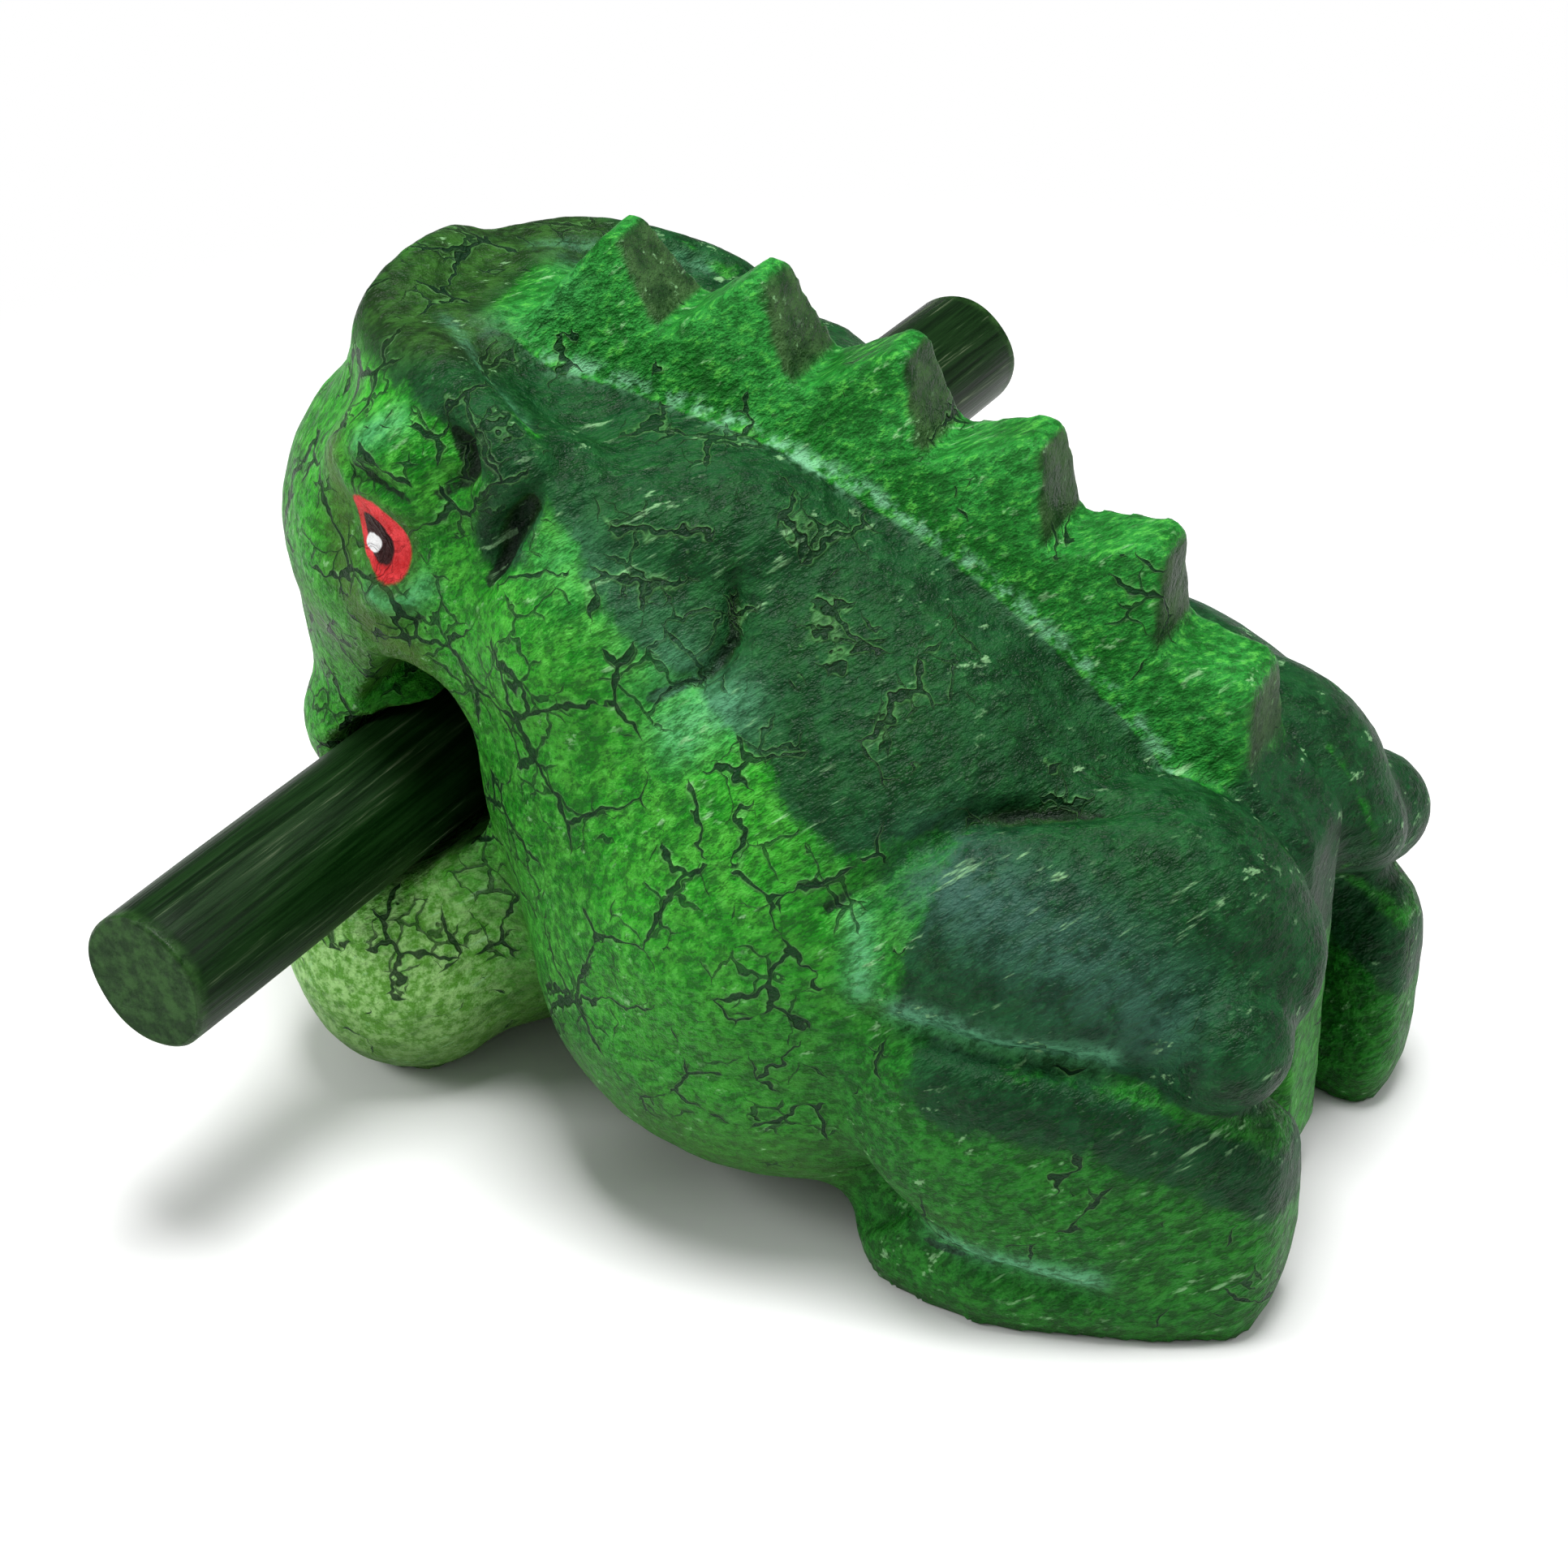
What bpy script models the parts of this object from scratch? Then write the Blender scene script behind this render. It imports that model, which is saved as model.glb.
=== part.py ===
"""Frog guiro: a frog carved from one block of wood, and its striker stick.

The frog faces -Y, its left side is +X, and its soles stand on Z = 0.
All sizes are in metres.
"""

import math

import bmesh
import bpy
from mathutils import Euler, Matrix, Vector
from mathutils.bvhtree import BVHTree

MM = 0.001

# Arc of the back: the crest and the spine are struck from one centre
ARC_CENTRE_Y = -20.2 * MM
ARC_CENTRE_Z = -10.3 * MM
SPINE_RADIUS = 80.6 * MM
CREST_FOOT_RADIUS = 80.6 * MM
TOOTH_ROOT_RISE = 4.4 * MM
TOOTH_HEIGHT = 7.0 * MM
TOOTH_ROOT_RADIUS = CREST_FOOT_RADIUS + TOOTH_ROOT_RISE
TOOTH_TIP_RADIUS = TOOTH_ROOT_RADIUS + TOOTH_HEIGHT

# Crest
TOOTH_COUNT = 6
FIRST_ROOT_ANGLE = math.radians(7.3)
TOOTH_PITCH = math.radians(8.5)
TOOTH_BACK_LEAN = math.radians(3.6)
TOOTH_LAND = math.radians(0.9)
LAST_TOOTH_DROP = 2.5 * MM
CREST_FOOT_WIDTH = 12.5 * MM
CREST_TOP_WIDTH = 5.5 * MM
CREST_FRONT_ANGLE = math.radians(-3.0)
CREST_FRONT_STEP = 0.2 * MM

# Trunk: angle on the arc in degrees, half width and depth in mm. Its eggs, like those of the head
# and the chest, are a centre and half lengths in mm, and a turn in degrees; one whose X isn't 0 is
# mirrored on the right
TRUNK = ((-14, 17, 46), (-6, 19, 50), (1, 22, 54), (8, 27, 57), (15, 30, 58), (24, 31, 58), (34, 30.5, 58),
         (46, 29, 58))
BELLY_WIDTH = 70.0 * MM
BELLY_LENGTH = 62.0 * MM
BELLY_HEIGHT = 62.0 * MM
BELLY_Y = 8.0 * MM
RUMP_WIDTH = 56.0 * MM
RUMP_RADIUS = 29.0 * MM
BELLY_SINK = 1.0 * MM
BELLY_SIDES = ((14, 7, 21.5), (20, 23.5, 20), (0, 0, 0))
RUMP_LOW = ((0, 25, 24), (28, 23, 24), (0, 0, 0))
SHOULDERS = ((18, -8, 52), (11, 13, 12), (-15, 0, -10))
THIGHS = ((18, 37, 35), (7.5, 20.5, 12), (-14, -39, 35))

# Keel: the crest runs down the tail to the ground
KEEL_WIDTH = 12.0 * MM
KEEL_TOP_WIDTH = 8.4 * MM
KEEL_DEPTH = 3.0 * MM
KEEL_REAR_Y = 51.0 * MM
KEEL_END_ANGLE = math.radians(78.0)
KEEL_SHARES = (0.2, 0.5, 0.8, 1.0)
CREST_ROOTING = 20.0 * MM
ROOTED_WIDTH = 0.8

# Head
HEAD_EGGS = (((0, -24.5, 53), (23.5, 23, 19), (6, 0, 0)),
             ((0, -29.3, 43), (19, 17.5, 17), (0, 0, 0)),
             ((15.5, -23, 68), (5, 15.5, 6), (-12, 0, -28)),
             ((18.5, -28, 64), (5, 8, 5), (0, 20, -20)),
             ((17.5, -30, 50), (5, 8, 4), (0, 0, -20)),
             ((14, -15, 51), (10.5, 13, 15), (-15, 0, 0)))
FOREHEAD_BLOCK = ((0, -31.5, 63), (18, 16, 23), (-12, 0, 0))
FOREHEAD_SCOOP = ((0, -28, 79.5), (8.5, 7.5, 8), (0, 0, 0))

# Chest, down to the forefeet
CHEST_EGGS = (((0, -28, 16), (22, 18, 17), (0, 0, 0)),
              ((15, -31.5, 14), (12, 12, 15), (0, 0, 0)),
              ((13, -27, 24), (9, 11, 14), (0, 0, 0)))

# Mouth: a slanted oval hole through the cheeks, a slot to the front, a hollow behind
BORE_Y = -28.0 * MM
BORE_Z = 31.2 * MM
BORE_REACH = 60.0 * MM
STICK_CLEARANCE = 0.6 * MM
HOLE_REAR = (4.6 * MM, 2.6 * MM, 6.8 * MM)
HOLE_TOP = (5.7 * MM, 10.6 * MM, 6.0 * MM)
MOUTH_HEIGHT = 6.0 * MM
HOLLOW_DIAMETER = 26.0 * MM
HOLLOW_LENGTH = 34.0 * MM
HOLLOW_RISE = 2.8 * MM

# Striker stick
STICK_DIAMETER = 13.0 * MM
STICK_LENGTH = 133.0 * MM
STICK_NEAR_OVERHANG = 51.5 * MM
STICK_YAW = math.radians(8.7)
STICK_PITCH = math.radians(-2.2)
STICK_END_EASE = 1.6 * MM
STICK_REST_DROP = 0.25 * MM

# The row's origin is under the middle of the box: half way along the stick and the frog
FROG_MIDDLE_Y = 4.0 * MM

# Hind leg below the thigh: X, Y, Z, half width and half height of each section in mm
SHIN = ((27, 19.5, 22, 3.5, 5), (27, 24, 21.5, 6.5, 9.5), (25.5, 33, 19, 7, 12), (22.5, 43, 15, 6.8, 13),
        (18.5, 52, 11.5, 6, 11), (17.5, 55.5, 11, 5, 9))
FOOT = ((22, 17.5, 3, 3, 2.5), (23.5, 22, 4, 6, 4.5), (24, 32, 5, 7.5, 6), (21, 43, 5, 7.5, 6),
        (17.5, 54, 5, 6, 6))
LIMB_SIDES = 16

# Carving
GRAIN = 1.3 * MM
BLANK_TRIANGLES = 7000
SKIN_PASSES = 8

# Gouge cuts on the left flank, as X, Y and Z in mm: the right flank has the same
BROW_CUT = ((23, -29.5, 65), (21, -24, 69), (22, -19, 69.5), (22.5, -17.5, 65.5))
EYE_CUT = ((20, -10, 70), (23.5, -11.5, 67), (22.5, -14.5, 62.5), (23, -16, 59))
LOWER_LID_CUT = ((21, -33, 55), (22, -29, 53), (22, -25, 52), (22, -21, 52))
SHOULDER_CUT = ((18.5, 4.7, 60), (21.5, 5.5, 57), (23.5, 4.6, 55), (26, 1.5, 53))
THIGH_CUT = ((31, 18, 39), (25.5, 23.8, 44), (21.5, 27, 45.6), (17, 32.5, 45.6), (13, 40.5, 44))
SHIN_CUT = ((31, 22, 30.8), (30.7, 31.4, 29.8), (27.4, 40.7, 28.4), (21, 51, 23.5))
FOOT_CUT = ((30, 27, 7), (31, 32, 6.8), (30.5, 37, 6.2), (28.5, 45, 5))
TOE_CUT = ((22.5, 16, 2), (24.5, 20, 5), (27, 25, 8))
GOUGE_WIDTH = 3.2 * MM
GOUGE_DEPTH = 1.9 * MM
GOUGE_STEPS = 12


def clear_scene():
    for item in list(bpy.data.objects):
        bpy.data.objects.remove(item, do_unlink=True)


def new_collection(name):
    group = bpy.data.collections.new(name)
    bpy.context.scene.collection.children.link(group)
    return group


def paint(name, colour, roughness):
    finish = bpy.data.materials.new(name)
    finish.use_nodes = True
    shader = finish.node_tree.nodes["Principled BSDF"]
    shader.inputs["Base Color"].default_value = (*colour, 1.0)
    shader.inputs["Roughness"].default_value = roughness
    shader.inputs["Metallic"].default_value = 0.0
    finish.diffuse_color = (*colour, 1.0)
    return finish


def object_from(bm, name, group, finish=None):
    mesh = bpy.data.meshes.new(name)
    bmesh.ops.recalc_face_normals(bm, faces=bm.faces)
    bm.to_mesh(mesh)
    bm.free()
    item = bpy.data.objects.new(name, mesh)
    group.objects.link(item)
    if finish is not None:
        mesh.materials.append(finish)
    return item


def on_arc(radius, angle):
    """Y and Z of a point on an arc about the centre of the back."""
    return ARC_CENTRE_Y + radius * math.sin(angle), ARC_CENTRE_Z + radius * math.cos(angle)


def turned(pitch, roll, yaw):
    return Euler((math.radians(pitch), math.radians(roll), math.radians(yaw))).to_matrix().to_4x4()


def ball(bm, centre, radii, turn=(0, 0, 0)):
    """One egg of the blank, with its half lengths along its own X, Y and Z."""
    place = Matrix.Translation(Vector(centre)) @ turned(*turn) @ Matrix.Diagonal((*radii, 1))
    bmesh.ops.create_uvsphere(bm, u_segments=32, v_segments=20, radius=1.0, matrix=place)


def egg(bm, centre, radii, turn):
    """An egg given in mm: alone on the middle plane, or else one on each side."""
    x, y, z = (value * MM for value in centre)
    radii = [value * MM for value in radii]
    pitch, roll, yaw = turn
    ball(bm, (x, y, z), radii, turn)
    if x:
        ball(bm, (-x, y, z), radii, (pitch, -roll, -yaw))


def skin_rings(bm, before, ring):
    """Joins a ring of a loft to the one before it; the first ring is capped."""
    if before is None:
        bm.faces.new(ring)
        return
    for i in range(len(ring)):
        j = (i + 1) % len(ring)
        bm.faces.new((before[i], before[j], ring[j], ring[i]))


def block(bm, centre, size, turn=(0, 0, 0)):
    place = Matrix.Translation(Vector(centre)) @ turned(*turn) @ Matrix.Diagonal((*size, 1))
    bmesh.ops.create_cube(bm, size=1.0, matrix=place)


def trunk(bm):
    """The arched back is a loft along its arc, wider in the middle, with the belly below it."""
    before = None
    for degrees, wide, deep in TRUNK:
        mid = SPINE_RADIUS - deep * MM / 2
        ring = []
        for i in range(32):
            around = math.tau * i / 32
            y, z = on_arc(mid + deep * MM / 2 * math.cos(around), math.radians(degrees))
            ring.append(bm.verts.new((wide * MM * math.sin(around), y, z)))
        skin_rings(bm, before, ring)
        before = ring
    bm.faces.new(before)
    y, z = on_arc(SPINE_RADIUS - RUMP_RADIUS, math.radians(TRUNK[-1][0]))
    ball(bm, (0, y, z), (RUMP_WIDTH / 2, RUMP_RADIUS, RUMP_RADIUS))
    ball(bm, (0, BELLY_Y, BELLY_HEIGHT / 2 - BELLY_SINK),
         (BELLY_WIDTH / 2, BELLY_LENGTH / 2, BELLY_HEIGHT / 2))
    egg(bm, *BELLY_SIDES)
    egg(bm, *RUMP_LOW)


def head(bm):
    block_centre, block_size, block_turn = FOREHEAD_BLOCK
    block(bm, Vector(block_centre) * MM, Vector(block_size) * MM, block_turn)
    for shape in HEAD_EGGS:
        egg(bm, *shape)


def chest(bm):
    for shape in CHEST_EGGS:
        egg(bm, *shape)


def limb(bm, stations):
    """A limb through upright sections: X, Y, Z of the middle, half width and half height in mm."""
    for side in (1, -1):
        before = None
        for x, y, z, wide, high in stations:
            ring = []
            for i in range(LIMB_SIDES):
                around = math.tau * (i + 0.5) / LIMB_SIDES
                across, up = math.sin(around), math.cos(around)
                square = (across ** 4 + up ** 4) ** -0.25
                ring.append(bm.verts.new((side * (x + wide * across * square) * MM, y * MM,
                                          (z + high * up * square) * MM)))
            skin_rings(bm, before, ring)
            before = ring
        bm.faces.new(before)


def hind_legs(bm):
    egg(bm, *THIGHS)
    limb(bm, SHIN)
    limb(bm, FOOT)


def crest_width(radius):
    share = (radius - CREST_FOOT_RADIUS) / (TOOTH_TIP_RADIUS - CREST_FOOT_RADIUS)
    return CREST_FOOT_WIDTH + min(max(share, 0.0), 1.0) * (CREST_TOP_WIDTH - CREST_FOOT_WIDTH)


def crest_columns():
    """Angle, top radius, top width, foot radius and foot width, from the brow to the tail."""
    foot = CREST_FOOT_RADIUS
    columns = [(CREST_FRONT_ANGLE, foot + CREST_FRONT_STEP, crest_width(foot), foot, CREST_FOOT_WIDTH)]
    for i in range(TOOTH_COUNT):
        root = FIRST_ROOT_ANGLE + i * TOOTH_PITCH
        tip = root - TOOTH_BACK_LEAN
        top = TOOTH_TIP_RADIUS - (LAST_TOOTH_DROP if i == TOOTH_COUNT - 1 else 0)
        for angle, radius in ((tip - TOOTH_LAND, top), (tip, top), (root, TOOTH_ROOT_RADIUS)):
            columns.append((angle, radius, crest_width(radius), foot, CREST_FOOT_WIDTH))
    last = columns[-1][0]
    for share in KEEL_SHARES:
        angle = last + share * (KEEL_END_ANGLE - last)
        radius = (KEEL_REAR_Y - ARC_CENTRE_Y) / math.sin(angle)
        columns.append((angle, radius, KEEL_TOP_WIDTH, radius - KEEL_DEPTH, KEEL_WIDTH))
    return columns


def crest(group):
    """The toothed comb as a loft: each column is a section that is thinner at its top."""
    bm = bmesh.new()
    before = None
    for angle, radius, width, foot, foot_width in crest_columns():
        points = []
        for r, w in ((radius, width), (foot, foot_width), (foot - CREST_ROOTING, foot_width * ROOTED_WIDTH)):
            y, z = on_arc(r, angle)
            points += [(w / 2, y, z), (-w / 2, y, z)]
        right_way = [points[i] for i in (0, 2, 4, 5, 3, 1)]
        ring = [bm.verts.new(p) for p in right_way]
        skin_rings(bm, before, ring)
        before = ring
    bm.faces.new(before)
    return object_from(bm, "crest_comb", group)


def blank(group, finish):
    """Every egg of the blank, grown together into one skin and smoothed."""
    bm = bmesh.new()
    trunk(bm)
    head(bm)
    chest(bm)
    egg(bm, *SHOULDERS)
    hind_legs(bm)
    body = object_from(bm, "frog_body", group, finish)
    skin = body.modifiers.new("one skin", 'REMESH')
    skin.mode = 'VOXEL'
    skin.voxel_size = GRAIN
    ease = body.modifiers.new("eased", 'SMOOTH')
    ease.factor = 0.5
    ease.iterations = SKIN_PASSES
    bpy.context.view_layer.update()
    faces = len(body.evaluated_get(bpy.context.evaluated_depsgraph_get()).data.polygons)
    thin = body.modifiers.new("fewer faces", 'DECIMATE')
    thin.ratio = BLANK_TRIANGLES / (2 * faces)
    return body


def cutter(item):
    item.hide_render = True
    item.display_type = 'WIRE'
    return item


def combine(body, other, operation):
    step = body.modifiers.new(operation.lower() + " " + other.name, 'BOOLEAN')
    step.operation = operation
    step.solver = 'EXACT'
    step.object = other


def sole_plane(group):
    """Everything under the soles is sawn off, by a saw that is wider than the frog is long."""
    bm = bmesh.new()
    block(bm, (0, 0, -BELLY_HEIGHT / 2), (STICK_LENGTH, STICK_LENGTH, BELLY_HEIGHT))
    return cutter(object_from(bm, "sole_saw", group))


def drill(group, name, diameter, start, end, segments=40):
    """A round cutter from one point to another."""
    start, end = Vector(start), Vector(end)
    along = end - start
    place = Matrix.Translation((start + end) / 2) @ along.to_track_quat('Z', 'Y').to_matrix().to_4x4()
    bm = bmesh.new()
    bmesh.ops.create_cone(bm, cap_ends=True, segments=segments, radius1=diameter / 2,
                          radius2=diameter / 2, depth=along.length, matrix=place)
    return cutter(object_from(bm, name, group))


def stick_direction():
    level = math.cos(STICK_PITCH)
    return Vector((math.cos(STICK_YAW) * level, -math.sin(STICK_YAW) * level, math.sin(STICK_PITCH)))


def mouth(group):
    """The hole is a hull round the stick's seat and two rounder corners behind and above it."""
    along = stick_direction()
    middle = Vector((0, BORE_Y, BORE_Z))
    seat = (0, 0, STICK_DIAMETER / 2 + STICK_CLEARANCE)
    bm = bmesh.new()
    for end in (-BORE_REACH, BORE_REACH):
        for back, rise, radius in (seat, HOLE_REAR, HOLE_TOP):
            for i in range(24):
                around = math.tau * i / 24
                bm.verts.new(middle + along * end + Vector((0, back + radius * math.cos(around),
                                                            rise + radius * math.sin(around))))
    hull = bmesh.ops.convex_hull(bm, input=bm.verts)
    spare = [v for v in hull["geom_interior"] if isinstance(v, bmesh.types.BMVert)]
    bmesh.ops.delete(bm, geom=spare, context='VERTS')
    bore = cutter(object_from(bm, "mouth_bore", group))
    bm = bmesh.new()
    block(bm, (0, BORE_Y - BORE_REACH / 2, BORE_Z), (2 * BORE_REACH, BORE_REACH, MOUTH_HEIGHT))
    slot = cutter(object_from(bm, "mouth_slot", group))
    start = middle + Vector((0, 0, HOLLOW_RISE))
    hollow = drill(group, "sound_hollow", HOLLOW_DIAMETER, start,
                   start + Vector((0, HOLLOW_LENGTH, 0)), 28)
    return bore, slot, hollow


def along_path(path, share):
    """A point on the bent line through the given points, by its share of the way."""
    place = share * (len(path) - 1)
    first = min(int(place), len(path) - 2)
    here, there = Vector(path[first]), Vector(path[first + 1])
    return here.lerp(there, place - first) * MM


def gouge(group, name, skin, path, width=1.0, depth=1.0):
    """A V cut that follows the skin and runs out at both ends, on both flanks."""
    bm = bmesh.new()
    middles = []
    for i in range(GOUGE_STEPS + 1):
        spot, normal, _, _ = skin.find_nearest(along_path(path, i / GOUGE_STEPS))
        middles.append((spot, normal))
    for side in (1, -1):
        before = None
        for i in range(GOUGE_STEPS + 1):
            spot, normal = middles[i]
            ahead = middles[min(i + 1, GOUGE_STEPS)][0] - middles[max(i - 1, 0)][0]
            across = ahead.cross(normal).normalized()
            swell = 0.12 + 0.88 * math.sin(math.pi * i / GOUGE_STEPS) ** 0.6
            out = normal * GOUGE_WIDTH * width * swell
            wide = across * GOUGE_WIDTH * width * swell * 1.1
            deep = normal * GOUGE_DEPTH * depth * swell
            ring = []
            for corner in (spot + out + wide, spot - deep, spot + out - wide):
                ring.append(bm.verts.new((side * corner.x, corner.y, corner.z)))
            skin_rings(bm, before, ring)
            before = ring
        bm.faces.new(before)
    return cutter(object_from(bm, name, group))


def gouges(group, body):
    """The knife work round the eyes, shoulders and legs."""
    bpy.context.view_layer.update()
    skin = BVHTree.FromObject(body, bpy.context.evaluated_depsgraph_get())
    return (gouge(group, "brow_cut", skin, BROW_CUT, 0.9, 0.9),
            gouge(group, "eye_cut", skin, EYE_CUT, 0.9, 1.2),
            gouge(group, "lower_lid_cut", skin, LOWER_LID_CUT, 0.7, 0.6),
            gouge(group, "shoulder_cut", skin, SHOULDER_CUT, 0.7, 0.7),
            gouge(group, "thigh_cut", skin, THIGH_CUT, 1.0, 1.0),
            gouge(group, "shin_cut", skin, SHIN_CUT, 1.0, 1.2),
            gouge(group, "foot_cut", skin, FOOT_CUT, 0.8, 0.9),
            gouge(group, "toe_cut", skin, TOE_CUT, 0.7, 0.8))


def stick(group, finish):
    bm = bmesh.new()
    bmesh.ops.create_cone(bm, cap_ends=True, segments=48, radius1=STICK_DIAMETER / 2,
                          radius2=STICK_DIAMETER / 2, depth=STICK_LENGTH)
    item = object_from(bm, "striker_stick", group, finish)
    along = stick_direction()
    seat = Vector((0, BORE_Y, BORE_Z - STICK_REST_DROP))
    item.rotation_euler = along.to_track_quat('Z', 'Y').to_euler()
    item.location = seat + along * (STICK_NEAR_OVERHANG - STICK_LENGTH / 2)
    ease = item.modifiers.new("eased ends", 'BEVEL')
    ease.width = STICK_END_EASE
    ease.segments = 3
    ease.limit_method = 'ANGLE'
    return item


def forehead(group):
    bm = bmesh.new()
    egg(bm, *FOREHEAD_SCOOP)
    return cutter(object_from(bm, "forehead_scoop", group))


def main():
    clear_scene()
    parts = new_collection("frog_guiro")
    tools = new_collection("cutters")
    green = paint("green_paint", (0.06, 0.36, 0.04), 0.4)
    dark = paint("dark_green_paint", (0.02, 0.07, 0.03), 0.45)
    body = blank(parts, green)
    cuts = gouges(tools, body)
    combine(body, cutter(crest(tools)), 'UNION')
    for tool in (*cuts, forehead(tools), *mouth(tools), sole_plane(tools)):
        combine(body, tool, 'DIFFERENCE')
    stick(parts, dark)
    middle_of_stick = (STICK_NEAR_OVERHANG - STICK_LENGTH / 2) * stick_direction().x
    for item in (*parts.objects, *tools.objects):
        item.location += Vector((-middle_of_stick, -FROG_MIDDLE_Y, 0))


main()
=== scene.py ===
# %% [markdown]
# A frog guiro is carved from one block of soft wood. A saw and a gouge leave a toothed crest along
# its back, a drill opens the mouth from side to side, and a round stick that is kept there is rubbed
# over the teeth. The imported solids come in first. They hold the true sizes, and every later step
# stays inside their box.

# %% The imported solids
import math

import bmesh
import bpy
import numpy as np
from mathutils import Matrix, Vector


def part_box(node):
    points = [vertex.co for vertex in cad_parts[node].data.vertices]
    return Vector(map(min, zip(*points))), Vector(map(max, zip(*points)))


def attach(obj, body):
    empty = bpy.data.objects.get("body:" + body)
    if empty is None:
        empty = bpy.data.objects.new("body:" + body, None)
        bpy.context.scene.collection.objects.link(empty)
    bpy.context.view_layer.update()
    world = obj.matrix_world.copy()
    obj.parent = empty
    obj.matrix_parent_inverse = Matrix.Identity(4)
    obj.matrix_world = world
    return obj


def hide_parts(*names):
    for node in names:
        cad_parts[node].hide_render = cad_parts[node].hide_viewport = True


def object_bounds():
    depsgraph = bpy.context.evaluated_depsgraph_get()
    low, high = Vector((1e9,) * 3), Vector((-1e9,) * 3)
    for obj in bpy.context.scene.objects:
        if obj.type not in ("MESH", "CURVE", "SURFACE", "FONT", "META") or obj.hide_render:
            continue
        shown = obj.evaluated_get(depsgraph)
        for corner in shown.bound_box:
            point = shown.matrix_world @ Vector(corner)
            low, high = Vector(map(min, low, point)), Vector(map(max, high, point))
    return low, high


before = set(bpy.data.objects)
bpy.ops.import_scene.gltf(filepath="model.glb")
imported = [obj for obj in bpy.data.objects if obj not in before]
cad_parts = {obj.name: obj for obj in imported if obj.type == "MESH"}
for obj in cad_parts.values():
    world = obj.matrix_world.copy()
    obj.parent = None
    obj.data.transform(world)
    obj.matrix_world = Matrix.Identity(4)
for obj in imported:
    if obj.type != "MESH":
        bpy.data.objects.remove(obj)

MM = 0.001
cad_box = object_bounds()
frog_low, frog_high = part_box("frog_body")
stick_low, stick_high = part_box("striker_stick")
FROG_X = (frog_low.x + frog_high.x) / 2
FROG_Y = -4.0 * MM
print("frog from", frog_low, "to", frog_high, "middle plane", FROG_X)

# %% [markdown]
# All carving below is given in millimetres from the middle of the frog: X to its left, Y towards its
# rump and Z up from its soles. The crest follows an arc, so its teeth are found by their distance
# from the middle of that arc and by their angle round it. The stick has a place and a lean of its own.

# %% Arc, bore and stick
ARC_Y, ARC_Z = -20.2, -10.3
BORE_Y, BORE_Z, BORE_RADIUS = -24, 35, 11
STICK_LENGTH, STICK_RADIUS = 133 * MM, 6.5 * MM
STICK_TURN, STICK_TILT = math.radians(8.7), math.radians(-2.2)
aim = Vector((math.cos(STICK_TILT) * math.cos(STICK_TURN), -math.cos(STICK_TILT) * math.sin(STICK_TURN),
              math.sin(STICK_TILT)))
stick_middle = (stick_low + stick_high) / 2
stick_lay = Matrix.Translation(stick_middle) @ aim.to_track_quat('Z', 'Y').to_matrix().to_4x4()
print("stick lies along", aim)


# %% Helpers for meshes
def take(item):
    """Makes this the one selected and active object."""
    bpy.ops.object.select_all(action='DESELECT')
    item.select_set(True)
    bpy.context.view_layer.objects.active = item


def places(mesh):
    """Every vertex as X, Y and Z in mm, measured from the middle of the frog."""
    flat = np.empty(len(mesh.vertices) * 3)
    mesh.vertices.foreach_get("co", flat)
    return (flat.reshape(-1, 3) - (FROG_X, FROG_Y, 0)) / MM


def put_places(mesh, spots):
    """Moves every vertex to its new place, given as in places()."""
    mesh.vertices.foreach_set("co", (spots * MM + (FROG_X, FROG_Y, 0)).ravel())
    mesh.update()


def normals(mesh):
    """The way that the skin faces at every vertex."""
    flat = np.empty(len(mesh.vertices) * 3)
    mesh.vertex_normals.foreach_get("vector", flat)
    return flat.reshape(-1, 3)


def crest_place(spots):
    """Each vertex's distance from the middle of the crest's arc, and its angle round it in degrees."""
    backward, upward = spots[:, 1] - ARC_Y, spots[:, 2] - ARC_Z
    return np.hypot(backward, upward), np.degrees(np.arctan2(backward, upward))


def ramp(start, full, value):
    """0 before start, 1 past full, and a smooth step between. It falls where start is the larger."""
    share = np.clip((value - start) / (full - start), 0, 1)
    return share * share * (3 - 2 * share)


print("mesh helpers ready")

# %% [markdown]
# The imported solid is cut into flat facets, as a rough carving is, and some places are still too lean.
# A maker would glue on more wood or fill with putty. Here eggs are added left and right: at the upper
# lip, over the shoulders, at the temples and on the thighs. The stick's channel is cut out of each
# egg first, so that the stick still has its room.

# %% Wood filler
CHANNEL_GAP = 0.6 * MM
# The middle of each egg and its half lengths
FILLINGS = {"upper lip": ((11, -35, 33.5), (6.9, 8.2, 7.5)),
            "upper flank": ((14.5, -7, 60.5), (8.3, 11.5, 7.2)),
            "shoulder": ((8.5, -5, 60), (12, 16, 8.6)),
            "temple": ((17, -15.5, 64.5), (5.0, 8.5, 5.6)),
            "thigh": ((11.5, 38, 34.5), (11, 15, 11.2)),
            "end of the thigh": ((19.5, 49, 28.5), (6, 6, 5.5))}


def filling(centre, half):
    """An egg of filler on the left and its mirror on the right, clear of the stick's channel."""
    made = []
    for x in (centre[0], -centre[0]):
        spot = Vector((x, *centre[1:])) * MM + Vector((FROG_X, FROG_Y, 0))
        bpy.ops.object.select_all(action='DESELECT')
        bpy.ops.mesh.primitive_uv_sphere_add(segments=32, ring_count=20, radius=1.0, location=spot,
                                             scale=[value * MM for value in half])
        egg = bpy.context.object
        bpy.ops.object.transform_apply(location=True, rotation=True, scale=True)
        clear = egg.modifiers.new("clear of the stick", 'BOOLEAN')
        clear.operation = 'DIFFERENCE'
        clear.object = channel
        take(egg)
        bpy.ops.object.modifier_apply(modifier="clear of the stick")
        made.append(egg)
    return made


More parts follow.
